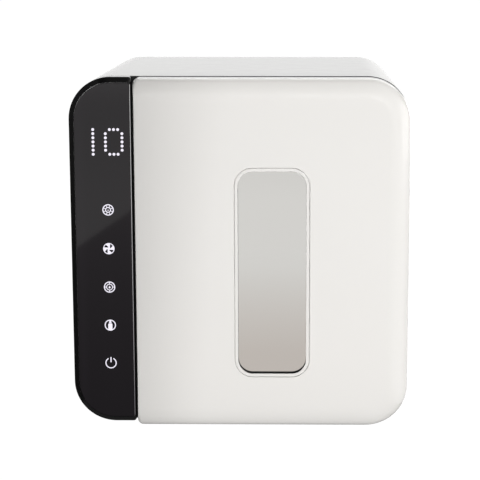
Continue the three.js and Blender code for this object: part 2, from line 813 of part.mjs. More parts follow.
// A rectangle of thick wire at one height, its sides a little past each other at the corners.
function wireLoop({ left, right, front, back }, z) {
  const past = RIM_WIRE * 0.6;
  const sides = [front, back].map((y) => wire([left - past, y, z], [right + past, y, z], RIM_WIRE));
  const ends = [left, right].map((x) => {
    return wire([x, front - past, z + LAP], [x, back + past, z + LAP], RIM_WIRE);
  });
  return [...sides, ...ends];
}

// The rack's floor: wires across and along, a rim and four legs.
function rackFloor() {
  const { left, right, front, back, base } = RACK;
  const wires = wireLoop(RACK, base);
  for (const x of between(left, right, RACK.along)) {
    wires.push(wire([x, front, base + LAP], [x, back, base + LAP]));
  }
  for (const y of between(front, back, RACK.across)) {
    wires.push(wire([left, y, base - WIRE], [right, y, base - WIRE]));
  }
  for (const x of [left + LEG_INSET, right - LEG_INSET]) {
    for (const y of [front, back]) {
      wires.push(wire([x, y, INNER.bottom + GAP], [x, y, base], LEG_WIRE));
    }
  }
  return joined(wires);
}

// The fence that stands on the floor's rim.
function rackFence() {
  const { left, right, front, back, base, rim } = RACK;
  const foot = base + 2 * RIM_WIRE + LAP + GAP;
  const wires = [...wireLoop(RACK, foot), ...wireLoop(RACK, rim)];
  for (const x of between(left, right, RACK.along)) {
    for (const y of [front, back]) {
      wires.push(wire([x, y, foot], [x, y, rim]));
    }
  }
  for (const y of between(front, back, RACK.across)) {
    for (const x of [left, right]) {
      wires.push(wire([x, y, foot], [x, y, rim]));
    }
  }
  return joined(wires);
}

function accessoryShelf() {
  const loop = { left: INNER.left + 3, right: INNER.right - 3, front: -104, back: 82 };
  const bars = wireLoop(loop, SHELF_HEIGHT + RIM_WIRE);
  const height = SHELF_HEIGHT + RIM_WIRE + LAP;
  for (const x of between(loop.left, loop.right, 13)) {
    bars.push(wire([x, loop.front, height], [x, loop.back, height]));
  }
  bars.push(wire([loop.left, -11, SHELF_HEIGHT + WIRE], [loop.right, -11, SHELF_HEIGHT + WIRE]));
  return joined(bars);
}

function addRacks() {
  add("bottle_rack", rackFloor(), WIRE_STEEL);
  add("rack_fence", rackFence(), WIRE_STEEL);
  add("accessory_shelf", accessoryShelf(), WIRE_STEEL);
}

addCase();
addControlPanel();
addChamber();
addHeater();
addFan();
addFilter();
addRear();
addInlet();
addElectrics();
addFeet();
addHinges();
addCatches();
addDoor();
addWindow();
addRacks();

export default group;
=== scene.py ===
"""Looks for the countertop bottle sterilizer: fine shells, lit signs, racks, materials and a studio.

Sizes are in millimetres in the row's frame and are turned into metres where a mesh or curve is made.
"""
import json
import math
from collections import namedtuple

import bmesh
import bpy
from mathutils import Matrix, Vector


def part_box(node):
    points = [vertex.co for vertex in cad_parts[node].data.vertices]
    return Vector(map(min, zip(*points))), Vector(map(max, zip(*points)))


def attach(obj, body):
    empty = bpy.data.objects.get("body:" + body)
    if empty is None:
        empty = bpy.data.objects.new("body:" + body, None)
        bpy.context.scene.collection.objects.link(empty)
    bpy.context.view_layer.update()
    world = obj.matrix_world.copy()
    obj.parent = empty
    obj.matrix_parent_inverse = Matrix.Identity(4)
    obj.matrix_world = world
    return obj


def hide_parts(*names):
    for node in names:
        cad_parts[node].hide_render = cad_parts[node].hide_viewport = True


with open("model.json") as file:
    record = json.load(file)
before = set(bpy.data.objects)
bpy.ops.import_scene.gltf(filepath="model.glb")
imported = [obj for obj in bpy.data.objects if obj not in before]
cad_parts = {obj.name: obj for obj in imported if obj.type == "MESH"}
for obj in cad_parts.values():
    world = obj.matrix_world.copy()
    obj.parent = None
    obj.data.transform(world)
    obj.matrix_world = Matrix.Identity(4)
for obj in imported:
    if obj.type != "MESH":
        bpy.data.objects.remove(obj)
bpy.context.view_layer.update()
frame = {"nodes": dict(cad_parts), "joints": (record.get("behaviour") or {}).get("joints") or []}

MM = 0.001
ARC_STEPS = 24  # segments in each corner of an outline
FILLET_STEPS = 8  # segments in a rounded edge
CASE_CORNER = 40
MOUTH_CORNER = 8
WALL = 2.5
EDGE = 0.4  # small rounding on moulded edges
GAP = 0.3  # between pieces that touch
THROUGH = 2  # how far a cutter reaches past what it cuts
SCREWS = [f"rear_screw_{number}" for number in range(1, 5)]
FEET = [f"foot_{end}_{side}" for end in ("front", "rear") for side in ("left", "right")]

Extent = namedtuple("Extent", "left right front back bottom top")
Rect = namedtuple("Rect", "left right bottom top corners")


# ---- places taken from the frame
def extent(node):
    low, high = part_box(node)
    return Extent(*(value / MM for value in (low.x, high.x, low.y, high.y, low.z, high.z)))


def rect_of(place, corners, inset=0.0):
    """The rounded rectangle round a place, with its sides moved in. corners is one radius or four
    from the bottom left, and inset is one distance or those of the left, right, bottom and top."""
    radii = corners if isinstance(corners, tuple) else (corners,) * 4
    left, right, bottom, top = inset if isinstance(inset, tuple) else (inset,) * 4
    return Rect(place.left + left, place.right - right, place.bottom + bottom, place.top - top, radii)


def rect_at(x, z, wide, high, corner):
    return Rect(x - wide / 2, x + wide / 2, z - high / 2, z + high / 2, (corner,) * 4)


def both(stem):
    return f"{stem}_upper", f"{stem}_lower"


def middle(place):
    return (Vector(place[::2]) + Vector(place[1::2])) / 2


CASE = extent("housing_wrap")
PANEL = extent("control_bezel")
GLASS = extent("touch_glass")
DOOR = extent("door_cover")
FRAME = extent("front_frame")
LINER = extent("door_liner")
CHAMBER = extent("chamber_wrap")
REAR = extent("rear_cover")

CASE_RECT = rect_of(CASE, CASE_CORNER)
PANEL_SMALL = 3  # corners of the panel beside the door
PANEL_RECT = rect_of(PANEL, (CASE_CORNER, PANEL_SMALL, PANEL_SMALL, CASE_CORNER))
GLASS_RECT = rect_of(GLASS, (34.8, 2, 2, 34.8))
BEZEL = extent("window_bezel")
GASKET = extent("door_gasket")
GASKET_RECT = rect_of(GASKET, MOUTH_CORNER + 4.8)
FILTER = extent("filter_cover")
SNAP = 4  # how far the bezel's flange reaches past the door's opening
WINDOW_RECT = rect_of(BEZEL, 17, SNAP)
MOUTH_RECT = rect_of(CHAMBER, MOUTH_CORNER, 2)

HINGE = Vector(frame["joints"][0]["pos_m"]) / MM
HINGE_ROUND = 10  # radius of the door's back right edge about the hinge line
FAN = Vector(frame["joints"][3]["pos_m"]) / MM


# ---- outlines and profiles
def arc_points(x, z, radius, start=0.0, end=360.0, steps=40):
    """Points of an arc, or of a whole circle without its last point."""
    count = steps if end - start >= 360 else steps + 1
    angles = [math.radians(start + (end - start) * k / steps) for k in range(count)]
    return [(x + radius * math.cos(angle), z + radius * math.sin(angle)) for angle in angles]


def outline(rect, inset=0.0, steps=ARC_STEPS):
    """Points (x, z) of a rounded rectangle, anticlockwise from its bottom left corner."""
    least = 0.15
    ways = ((rect.left, rect.bottom, 1, 1), (rect.right, rect.bottom, -1, 1))
    ways += ((rect.right, rect.top, -1, -1), (rect.left, rect.top, 1, -1))
    points = []
    for quarter, ((x, z, dx, dz), corner) in enumerate(zip(ways, rect.corners), 2):
        reach = max(corner, inset + least)
        start = 90 * quarter
        points += arc_points(
            x + dx * reach, z + dz * reach, reach - inset, start, start + 90, steps
        )
    return points


def rounded(profile, closed):
    """A profile of (rect, inset, y, radius), each corner whose radius isn't 0 turned into an arc."""
    result = []
    count = len(profile)
    for i, (rect, inset, y, radius) in enumerate(profile):
        before = profile[i - 1]
        after = profile[(i + 1) % count]
        at_end = not closed and i in (0, count - 1)
        if radius == 0 or at_end or before[0] is not rect or after[0] is not rect:
            result.append((rect, inset, y))
            continue
        here = Vector((inset, y))
        back = Vector(before[1:3]) - here
        on = Vector(after[1:3]) - here
        room = min(back.length, on.length)
        back.normalize()
        on.normalize()
        half = back.angle(on) / 2
        reach = min(radius, 0.49 * room * math.tan(half))
        centre = here + (back + on).normalized() * reach / math.sin(half)
        start = here + back * reach / math.tan(half) - centre
        end = here + on * reach / math.tan(half) - centre
        sweep = start.angle_signed(end)
        for k in range(FILLET_STEPS + 1):
            point = centre + Matrix.Rotation(-sweep * k / FILLET_STEPS, 2) @ start
            result.append((rect, point.x, point.y))
    return result


def levels_on(rect, *rows):
    """Levels of a profile that follow one rectangle. Each row is (inset, y, radius)."""
    return [(rect, *row) for row in rows]


def falling(wide, deep, steps=FILLET_STEPS):
    """Insets and depths of a face whose edge falls away in a quarter ellipse, from the face out."""
    turns = [math.pi / 2 * k / steps for k in range(steps + 1)]
    return [(wide * (1 - math.sin(turn)), deep * (1 - math.cos(turn))) for turn in turns]


# ---- making pieces
def new_object(name, data):
    made = bpy.data.objects.new(name, data)
    bpy.context.scene.collection.objects.link(made)
    return made


def link(name, data, material, body, nodes=()):
    """A piece of the object, or of the studio when it has no body."""
    piece = new_object(name, data)
    if material is not None:
        data.materials.append(material)
    if body:
        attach(piece, body)
    if nodes:
        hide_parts(*nodes)
    return piece


def smooth(mesh, sharp=35):
    mesh.shade_smooth()
    mesh.set_sharp_from_angle(angle=math.radians(sharp))


def mesh_of(name, verts, faces):
    """A mesh from millimetres, with its faces pointing outwards."""
    shape = bmesh.new()
    corners = [shape.verts.new(Vector(v) * MM) for v in verts]
    for face in faces:
        shape.faces.new([corners[i] for i in face])
    bmesh.ops.recalc_face_normals(shape, faces=shape.faces)
    mesh = bpy.data.meshes.new(name)
    shape.to_mesh(mesh)
    shape.free()
    return mesh


def even_shading(piece):
    modifier = piece.modifiers.new("even_shading", "WEIGHTED_NORMAL")
    modifier.keep_sharp = True
    modifier.weight = 80
    return piece


def around(count, low, high):
    """The faces between two rings of vertices that start at low and at high."""
    pairs = [(k, (k + 1) % count) for k in range(count)]
    return [(low + k, low + after, high + after, high + k) for k, after in pairs]


def tube_faces(count, start, end, closed=False):
    """The faces along rings of count vertices, and two caps unless the last ring meets the first."""
    last = end - count
    faces = [face for low in range(start, last, count) for face in around(count, low, low + count)]
    if closed:
        return faces + around(count, last, start)
    return faces + [tuple(range(low, low + count)) for low in (start, last)]


def swept_mesh(name, profile, closed, steps=ARC_STEPS):
    """The solid that a profile sweeps round its rounded rectangles. Open profiles are capped."""
    levels = rounded(profile, closed)
    verts = [(x, y, z) for rect, inset, y in levels for x, z in outline(rect, inset, steps)]
    return mesh_of(name, verts, tube_faces(4 * (steps + 1), 0, len(verts), closed))


def prism_mesh(name, ring, low, high, along_y=False):
    """The solid between two levels round a ring of points: (x, y), or (x, z) when along Y."""
    verts = [(x, y, level) for level in (low, high) for x, y in ring]
    if along_y:
        verts = [(x, y, z) for x, z, y in verts]
    return mesh_of(name, verts, tube_faces(len(ring), 0, len(verts)))


def lathe_mesh(name, profile, sides=48):
    """A solid turned about Z from points (radius, z), with both ends on the axis."""
    rings = profile[1:-1]
    verts = [(x, y, z) for radius, z in rings for x, y in arc_points(0, 0, radius, steps=sides)]
    last = len(verts) - sides
    faces = tube_faces(sides, 0, len(verts))[:-2]
    for start, z in ((0, profile[0][1]), (last, profile[-1][1])):
        faces += [(start + k, start + (k + 1) % sides, len(verts)) for k in range(sides)]
        verts.append((0, 0, z))
    return mesh_of(name, verts, faces)


def boxes_mesh(name, *boxes):
    """Separate boxes in one mesh. Each box is three (low, high) pairs."""
    verts = []
    faces = []
    for x, y, z in boxes:
        ring = [(x[0], y[0]), (x[1], y[0]), (x[1], y[1]), (x[0], y[1])]
        verts += [(*corner, level) for level in z for corner in ring]
        faces += tube_faces(4, len(verts) - 8, len(verts))
    return mesh_of(name, verts, faces)


def apply_modifiers(piece):
    """The piece keeps the shape that its modifiers gave it."""
    depsgraph = bpy.context.evaluated_depsgraph_get()
    made = bpy.data.meshes.new_from_object(piece.evaluated_get(depsgraph), depsgraph=depsgraph)
    piece.modifiers.clear()
    piece.data = made


def carve(mesh, *cutters):
    """Cuts meshes out of a mesh. The cutters are used up."""
    whole = new_object("carving", mesh)
    tools = [new_object("cutter", cutter) for cutter in cutters]
    for tool in tools:
        modifier = whole.modifiers.new("cut", "BOOLEAN")
        modifier.operation = "DIFFERENCE"
        modifier.solver = "EXACT"
        modifier.object = tool
    apply_modifiers(whole)
    result = whole.data
    for used in (whole, *tools):
        bpy.data.objects.remove(used)
    return result


def swept(node, profile, material, body, cutters=(), closed=True, name=None):
    """A swept piece that stands for one CAD node and is named after it unless it has its own name."""
    name = name or f"{node}_fine"
    mesh = swept_mesh(name, profile, closed)
    if cutters:
        mesh = carve(mesh, *cutters)
    mesh.name = name
    smooth(mesh)
    mesh.materials.clear()
    return even_shading(link(name, mesh, material, body, [node]))


def tube_profile(rect, thick, front, back, edge=EDGE):
    """A wall round a rectangle, open at both ends."""
    corners = ((0, front), (0, back), (thick, back), (thick, front))
    return levels_on(rect, *((*corner, edge) for corner in corners))


def plate_profile(rect, front, back, edge):
    """A plate with its rims softened, as an open profile from its front to its back."""
    rows = ((edge * 3, front, 0), (0, front, edge), (0, back, edge), (edge * 3, back, 0))
    return levels_on(rect, *rows)


def cover_profile(rect, place, edge):
    """A cover with a crisp front rim and a wide round one behind."""
    front, back = place.front, place.back
    return levels_on(rect, (1, front, 0), (0, front, 0.3), (0, back, edge), (6, back, 0))


def slot_mesh(rect, place):
    """A cutter for a slot or a hole through a place, from its front to its back."""
    profile = levels_on(rect, (0, place.front - THROUGH, 0), (0, place.back + THROUGH, 0))
    return swept_mesh("cutter", profile, False, steps=6)


def vents(place, x, base, count, pitch, size):
    """Cutters for a column of slots. size is their width, height and corner."""
    return [slot_mesh(rect_at(x, base + k * pitch, *size), place) for k in range(count)]


# ---- materials
class Tree:
    """A node tree, built by short calls. A socket takes a plain value or another node's output."""

    def __init__(self, owner):
        owner.use_nodes = True
        self.tree = owner.node_tree

    def put(self, socket, value):
        if isinstance(value, bpy.types.NodeSocket):
            self.tree.links.new(value, socket)
        else:
            socket.default_value = value

    def node(self, kind, **sockets):
        made = self.tree.nodes.new("ShaderNode" + kind)
        for socket, value in sockets.items():
            self.put(made.inputs[socket.replace("_", " ")], value)
        return made

    def axes(self, coordinates):
        """The three coordinates of what is shaded, as outputs named X, Y and Z."""
        place = self.node("TexCoord").outputs[coordinates]
        return self.node("SeparateXYZ", Vector=place).outputs

    def ranged(self, value, low, high, start=0.0, end=1.0):
        """A value between start and end, turned into one between low and high."""
        ends = {"From_Min": start, "From_Max": end, "To_Min": low, "To_Max": high}
        return self.node("MapRange", Value=value, **ends).outputs["Result"]

    def between(self, factor, first, second):
        """A mix of two colours."""
        made = self.tree.nodes.new("ShaderNodeMix")
        made.data_type = "RGBA"
        colours = [socket for socket in made.inputs if socket.type == "RGBA"]
        for socket, value in zip((made.inputs[0], *colours), (factor, first, second)):
            self.put(socket, value)
        return next(socket for socket in made.outputs if socket.type == "RGBA")


class Nodes(Tree):
    """A material's node tree."""

    def __init__(self, name, **sockets):
        self.material = bpy.data.materials.new(name)
        super().__init__(self.material)
        self.shader = self.tree.nodes["Principled BSDF"]
        self.shade(**sockets)
        self.place = self.node("TexCoord").outputs["Object"]

    def shade(self, **sockets):
        for socket, value in sockets.items():
            self.put(self.shader.inputs[socket.replace("_", " ")], value)
        return self.material

    def stretched(self, scale):
        return self.node("Mapping", Vector=self.place, Scale=scale).outputs["Vector"]

    def noise(self, scale, detail=3.0, where=None, roughness=0.5):
        made = self.node(
            "TexNoise", Vector=where or self.place, Scale=scale, Detail=detail, Roughness=roughness
        )
        return made.outputs["Fac"]

    def bump(self, height, distance):
        return self.node("Bump", Height=height, Strength=1.0, Distance=distance).outputs["Normal"]


def grey(value, warmth=0.0):
    return (value * (1 + warmth), value, value * (1 - warmth), 1)


def moulded(name, colour, other, roughness, coat=0.0, grain=0.00002, grain_scale=900, **sockets):
    """Injection-moulded plastic: a faint mottle, uneven gloss and a fine grain."""
    made = Nodes(name, Coat_Weight=coat, Coat_Roughness=0.06, **sockets)
    mottle = made.noise(14, 4)
    gloss = made.ranged(made.noise(60, 3), roughness * 0.85, roughness * 1.15)
    fine = made.noise(grain_scale, 2)
    return made.shade(
        Base_Color=made.between(mottle, colour, other),
        Roughness=gloss,
        Normal=made.bump(fine, grain),
    )


def make_white():
    warm, warmer = (0.815, 0.8, 0.775, 1), (0.8, 0.783, 0.757, 1)
    return moulded("white_gloss", warm, warmer, 0.24, coat=0.35, grain=0.000004)


def make_black_gloss():
    return moulded("black_gloss", grey(0.0045), grey(0.006), 0.16, coat=0.3, grain=0.000003)


def make_black_satin():
    return moulded("black_satin", grey(0.012), grey(0.017), 0.5, grain=0.00005, grain_scale=1400)


def make_panel_glass():
    made = Nodes("panel_glass", Specular_IOR_Level=0.42, IOR=1.5, Specular_Tint=(1, 0.955, 0.975, 1))
    smears = made.noise(9, 5, made.stretched((1.0, 1.0, 0.35)), 0.65)
    dark, darker = (0.005, 0.0042, 0.0055, 1), (0.0035, 0.003, 0.004, 1)
    return made.shade(
        Base_Color=made.between(made.noise(20), darker, dark),
        Roughness=made.ranged(smears, 0.02, 0.06),
    )


def metal(name, colours, clouds, marks, gloss, bump=None, along=None, noise_roughness=0.5):
    """Bare metal: clouds mix its two colours, and marks change its gloss and roughen it."""
    made = Nodes(name, Metallic=1.0)
    grain = made.noise(*marks, made.stretched(along) if along else None, noise_roughness)
    if bump:
        made.shade(Normal=made.bump(grain, bump))
    return made.shade(
        Base_Color=made.between(made.noise(*clouds), *colours), Roughness=made.ranged(grain, *gloss)
    )


def make_trim():
    """The polished rim between the panel's glass and the door."""
    return metal("panel_trim", (grey(0.72), grey(0.8)), (40, 3), (120, 3), (0.1, 0.2))


def make_mirror():
    made = Nodes("half_mirror", Metallic=1.0)
    wave = made.noise(5, 2)
    return made.shade(
        Base_Color=made.between(wave, (0.625, 0.615, 0.59, 1), (0.6, 0.59, 0.57, 1)),
        Roughness=made.ranged(made.noise(30), 0.05, 0.08),
        Normal=made.bump(wave, 0.00004),
    )


def make_clear():
    made = Nodes("clear_pane", Transmission_Weight=1.0, IOR=1.46, Base_Color=(0.95, 0.98, 0.98, 1))
    return made.shade(Roughness=made.ranged(made.noise(40), 0.01, 0.04))


def make_sheet_steel(name, along, dark=0.5, light=0.62):
    """Bright rolled steel, its grain drawn out in one direction."""
    colours = grey(dark, 0.01), grey(light, 0.01)
    return metal(name, colours, (6, 3), (420, 4), (0.14, 0.3), 0.00003, along, 0.6)


def make_wire():
    return metal("polished_wire", (grey(0.66), grey(0.74)), (30, 3), (250, 3), (0.08, 0.2), 0.00002)


def make_rubber(name, colour, other):
    return moulded(name, colour, other, 0.72, grain=0.0001, grain_scale=700, Specular_IOR_Level=0.3)


def make_board():
    """Green solder mask with paler tracks and rows of joints."""
    made = Nodes("circuit_board", Coat_Weight=0.4, Coat_Roughness=0.2)
    tracks = made.node("TexBrick", Vector=made.place, Scale=60.0)
    joints = made.node("TexVoronoi", Vector=made.place, Scale=260.0)
    spots = made.ranged(joints.outputs["Distance"], 1.0, 0.0)
    green = made.between(tracks.outputs["Fac"], (0.01, 0.09, 0.04, 1), (0.02, 0.16, 0.07, 1))
    return made.shade(
        Base_Color=green,
        Roughness=made.ranged(spots, 0.25, 0.5),
        Normal=made.bump(spots, 0.0002),
    )


def make_light(name, colour, strength, base):
    """A lit plastic of the given base grey, which glows with its own colour."""
    made = Nodes(name, Emission_Color=colour, Emission_Strength=strength, Roughness=0.4)
    return made.shade(Base_Color=made.between(made.noise(500, 2), grey(base), grey(base * 1.2)))


def make_fibre():
    made = Nodes("filter_fibre", Sheen_Weight=0.4, Roughness=0.9)
    threads = made.noise(900, 4, made.stretched((1, 1, 0.3)), 0.7)
    return made.shade(
        Base_Color=made.between(threads, (0.62, 0.64, 0.66, 1), (0.82, 0.83, 0.85, 1)),
        Normal=made.bump(threads, 0.0004),
    )


def make_brass():
    colours = (0.55, 0.38, 0.16, 1), (0.68, 0.5, 0.24, 1)
    return metal("plated_brass", colours, (300, 3), (300, 3), (0.2, 0.4))


WHITE = make_white()
BLACK_GLOSS = make_black_gloss()
BLACK_SATIN = make_black_satin()
PANEL_GLASS = make_panel_glass()
TRIM = make_trim()
MIRROR = make_mirror()
CLEAR = make_clear()
STEEL_UP = make_sheet_steel("steel_grain_up", (1, 1, 0.03))
STEEL_ACROSS = make_sheet_steel("steel_grain_across", (0.03, 1, 1))
STEEL_PLAIN = make_sheet_steel("steel_plain", (1, 1, 1), 0.45, 0.58)
WIRE = make_wire()
RUBBER = make_rubber("black_rubber", grey(0.02), grey(0.03))
SILICONE = make_rubber("grey_silicone", grey(0.34), grey(0.42))
BOARD = make_board()
SIGN_LIGHT = make_light("sign_light", (0.92, 0.89, 1, 1), 1.02, 0.02)
LAMP_CHIP = make_light("lamp_chip", (0.62, 0.56, 1, 1), 0.35, 0.75)
FIBRE = make_fibre()
BRASS = make_brass()


# ---- case
def build_wrap():
    """The white case."""
    profile = tube_profile(CASE_RECT, WALL, CASE.front, CASE.back, 0.2)
    swept("housing_wrap", profile, WHITE, "housing", name="case_wrap_fine")


HINGES = [extent("hinge_bracket_lower"), extent("hinge_bracket_upper")]
ARM_THICK = 3
ARM_END = 5.8  # round end of a hinge arm, and its width to the left of the hinge line
ARM_SWING = 3.1  # how far in front of the hinge line an arm passes through the door's edge
ARM_SLACK = 0.8


def arm_span(bracket):
    """Lowest and highest point of a hinge bracket's arm."""
    z = (bracket.bottom + bracket.top) / 2
    return z - ARM_THICK / 2, z + ARM_THICK / 2


def frame_cutters():
    """Room in the frame for the hinge arms and for the catch plates."""
    slack = 0.4
    front = FRAME.front - THROUGH
    rooms = []
    for bracket in HINGES:
        low, high = arm_span(bracket)
        x = (HINGE.x - ARM_END - slack, HINGE.x + slack)
        rooms.append((x, (front, FRAME.back + THROUGH), (low - slack, high + slack)))
    for node in both("catch_plate"):
        plate = extent(node)
        x = (plate.left - GAP, plate.right + GAP)
        rooms.append((x, (front, plate.back + GAP), (plate.bottom - GAP, plate.top + GAP)))
    return [boxes_mesh("cutter", room) for room in rooms]


def build_frame():
    step = FRAME.front + 1.5
    inset = 0.05
    profile = levels_on(CASE_RECT, (inset, FRAME.front, 0.15), (inset, step, 0.1))
    profile += levels_on(CASE_RECT, (WALL, step, 0), (WALL, FRAME.back, 0.3))
    profile += levels_on(MOUTH_RECT, (0, FRAME.back, 0), (0, FRAME.front, 0))
    cutters = frame_cutters()
    swept("front_frame", profile, BLACK_SATIN, "housing", cutters)


# ---- control panel
BEVEL_WIDE = 5  # width of the bezel's edge, a flat bevel and a small round
BEVEL_ANGLE = math.radians(38)
BEVEL_ROUND = 1.2
TRIM_SHARE = 0.2  # share of that width beside the door
FACING_FRONT = -0.996  # a face whose normal's Y is below this belongs to the polished rim


def panel_level(inset, y):
    """One level of the bezel's edge, which is almost square on the side next to the door."""
    corner = CASE_CORNER - inset
    corners = (corner, PANEL_SMALL, PANEL_SMALL, corner)
    return rect_of(PANEL, corners, (inset, inset * TRIM_SHARE, inset, inset)), 0, y, 0


def panel_edge():
    """Levels of the bezel's edge, from its front: a flat bevel and a small round."""
    start = BEVEL_ROUND * (1 - math.sin(BEVEL_ANGLE))
    depth = (BEVEL_WIDE - start) * math.tan(BEVEL_ANGLE)
    levels = [panel_level(BEVEL_WIDE, PANEL.front)]
    for k in range(FILLET_STEPS + 1):
        angle = BEVEL_ANGLE + (math.pi / 2 - BEVEL_ANGLE) * k / FILLET_STEPS
        y = PANEL.front + depth + BEVEL_ROUND * (math.cos(BEVEL_ANGLE) - math.cos(angle))
        levels.append(panel_level(BEVEL_ROUND * (1 - math.sin(angle)), y))
    return levels


def build_bezel():
    """The panel's frame, with a seat for the glass and a polished rim beside the door."""
    gap = 0.25
    wide = 2.5
    seat = GLASS.back + 0.3
    profile = panel_edge()
    profile += levels_on(PANEL_RECT, (0, PANEL.back, 0.3), (wide, PANEL.back, 0))
    profile += levels_on(
        GLASS_RECT, (wide, PANEL.back, 0), (wide, seat, 0), (-gap, seat, 0), (-gap, PANEL.front, 0.1)
    )
    bezel = swept(
        "control_bezel", profile, BLACK_GLOSS, "housing",
        name="panel_bezel_fine",
    )
    bezel.data.materials.append(TRIM)
    for face in bezel.data.polygons:
        if face.normal.y < FACING_FRONT:
            face.material_index = 1


def build_glass():
    plate = plate_profile(GLASS_RECT, GLASS.front, GLASS.back, 0.35)
    swept(
        "touch_glass", plate, PANEL_GLASS, "housing", closed=False,
        name="panel_glass_fine",
    )


# ---- lit signs
SIGN_THICK = 0.12
SIGN_RADIUS = 5.4
LINE = 0.95  # width of a sign's lines


def flat_shapes(name, shapes):
    """Thin raised shapes on the panel's glass. Each is a ring of (x, z) points or a pair of rings."""
    verts = []
    faces = []
    back = GLASS.front - 0.02
    front = back - SIGN_THICK
    for shape in shapes:
        hollow = isinstance(shape, tuple)
        outer, inner = shape if hollow else (shape, ())
        start = len(verts)
        verts += [(x, y, z) for y in (front, back) for x, z in outer]
        verts += [(x, y, z) for y in (back, front) for x, z in inner]
        faces += tube_faces(len(outer), start, len(verts), hollow)
    mesh = mesh_of(name, verts, faces)
    mesh.shade_flat()
    link(name, mesh, SIGN_LIGHT, "housing")


def ring(x, z, radius, width=LINE):
    return arc_points(x, z, radius), arc_points(x, z, radius - width)


def open_ring(x, z, radius, start, end, steps=30):
    outer, inner = (arc_points(x, z, far, start, end, steps) for far in (radius, radius - LINE))
    return outer + inner[::-1]


def bar(x0, z0, x1, z1, width=LINE):
    along = Vector((x1 - x0, z1 - z0)).normalized() * width / 2
    across = Vector((-along.y, along.x))
    corners = ((x0, z0, 1), (x1, z1, 1), (x1, z1, -1), (x0, z0, -1))
    return [(x + across.x * side, z + across.y * side) for x, z, side in corners]


def drop(x, z, size):
    """A water drop, round below and pointed above."""
    return arc_points(x, z, size, -200, 20, 16) + [(x, z + size * 2.1)]


def spokes(x, z, inner, outer, count, width, start=0.0):
    near, far = (arc_points(x, z, radius, start, start + 360, count) for radius in (inner, outer))
    return [bar(*low, *high, width) for low, high in zip(near, far)]


def sign_auto(x, z):
    """A wheel: two rings, eight short spokes between them, and a drop at its middle."""
    shapes = [ring(x, z, SIGN_RADIUS), ring(x, z, 2.75, 0.85), drop(x, z - 0.5, 0.5)]
    return shapes + spokes(x, z, 2.7, 4.6, 8, 0.55, 22.5)


def sign_dry(x, z):
    """A fan: a ring and four swept blades round a hub."""
    shapes = [ring(x, z, SIGN_RADIUS, 0.8), arc_points(x, z, 1.5, steps=20)]
    for k in range(4):
        turn = k * 90 + 50
        inner = arc_points(x, z, 1.2, turn - 20, turn + 30, 4)
        outer = arc_points(x, z, SIGN_RADIUS - 0.6, turn + 25, turn + 76, 10)
        shapes.append(inner[:1] + outer + inner[1:][::-1])
    return shapes


def sign_sterilise(x, z):
    """Rings of light round a drop."""
    shapes = [ring(x, z, SIGN_RADIUS), ring(x, z, 3.2, 0.75), drop(x, z - 0.4, 0.9)]
    return shapes + spokes(x, z, 3.1, 4.6, 4, 0.7)


def sign_store(x, z):
    """A bottle in a ring."""
    body = [(-2.0, -4.5), (2.0, -4.5), (2.0, 0.9), (1.2, 1.8), (-1.2, 1.8), (-2.0, 0.9)]
    teat = [(-1.3, 2.1), (1.3, 2.1), (0.7, 4.5), (-0.7, 4.5)]
    drawn = [[(x + right, z + up) for right, up in part] for part in (body, teat)]
    return [ring(x, z, SIGN_RADIUS), *drawn]


def sign_power(x, z):
    """An open ring with a bar through its gap."""
    return [open_ring(x, z, SIGN_RADIUS, 118, 422), bar(x, z + 0.7, x, z + SIGN_RADIUS + 0.3, 1.05)]


SIGNS = [sign_auto, sign_dry, sign_sterilise, sign_store, sign_power]
DOT_PITCH = 3.88  # of the dots that the display's digits are drawn in
DOT_RADIUS = 1.35
DIGIT_ROWS = 7
DIGIT_BASE = 263.6  # height of the lowest dots
ONE_X = -136.9
ZERO_X = -125.2
ZERO_COLUMNS = 5


def build_signs():
    for number, draw in enumerate(SIGNS, 1):
        centre = middle(extent(f"touch_electrode_{number}"))
        flat_shapes(draw.__name__, draw(centre.x, centre.z))
    top = DIGIT_ROWS - 1
    dots = [(ONE_X, row) for row in range(DIGIT_ROWS)]
    for column in range(ZERO_COLUMNS):
        at_side = column in (0, ZERO_COLUMNS - 1)
        rows = range(1, top) if at_side else (0, top)
        dots += [(ZERO_X + column * DOT_PITCH, row) for row in rows]
    lit = [arc_points(x, DIGIT_BASE + row * DOT_PITCH, DOT_RADIUS, steps=20) for x, row in dots]
    flat_shapes("display_digits", lit)


# ---- door
CROWN_WIDE = 20  # how far in from its edge the door's face starts to fall away
CROWN_DEEP = 9  # and how far it falls
LEFT_SHARE = 0.07  # the fall is this much narrower beside the control panel
SMALL_CORNER = 5.5  # of the door's face beside the control panel
SHADOW_LINE = 0.35  # the door's top and right edges stand this far inside the case's
RIM = 3.3  # width of the window's white rim
SEAL_LIP = 1.7  # how much of the seal and the glass the rim covers
SEAL_DEEP = 1.6  # how far the seal holds the mirrored face behind the front of the pane's seat
LINER_INSET = 1.5
LINER_CORNER = CASE_CORNER - LINER_INSET


def edge_relief():
    """What is taken off the door's back right edge so that it turns clear about the hinge line."""
    far_x, far_y = HINGE.x + 20, HINGE.y + 20
    ring = arc_points(HINGE.x, HINGE.y, HINGE_ROUND, 0, 90, 24)
    ring += [(HINGE.x, far_y), (far_x, far_y), (far_x, HINGE.y)]
    return prism_mesh("cutter", ring, DOOR.bottom - THROUGH, DOOR.top + THROUGH)


def arm_slots():
    """Room in the door for each hinge arm's round end, and for the arm itself as the door turns."""
    end = ARM_END + 0.6
    back = LINER.back + 1
    rooms = []
    for bracket in HINGES:
        low, high = arm_span(bracket)
        z = (low - ARM_SLACK, high + ARM_SLACK)
        rooms.append(((HINGE.x - end, HINGE.x + end), (HINGE.y - end, back), z))
        rooms.append(((HINGE.x, DOOR.right + 1), (HINGE.y - ARM_SWING, back + 1), z))
    return [boxes_mesh("cutter", room) for room in rooms]


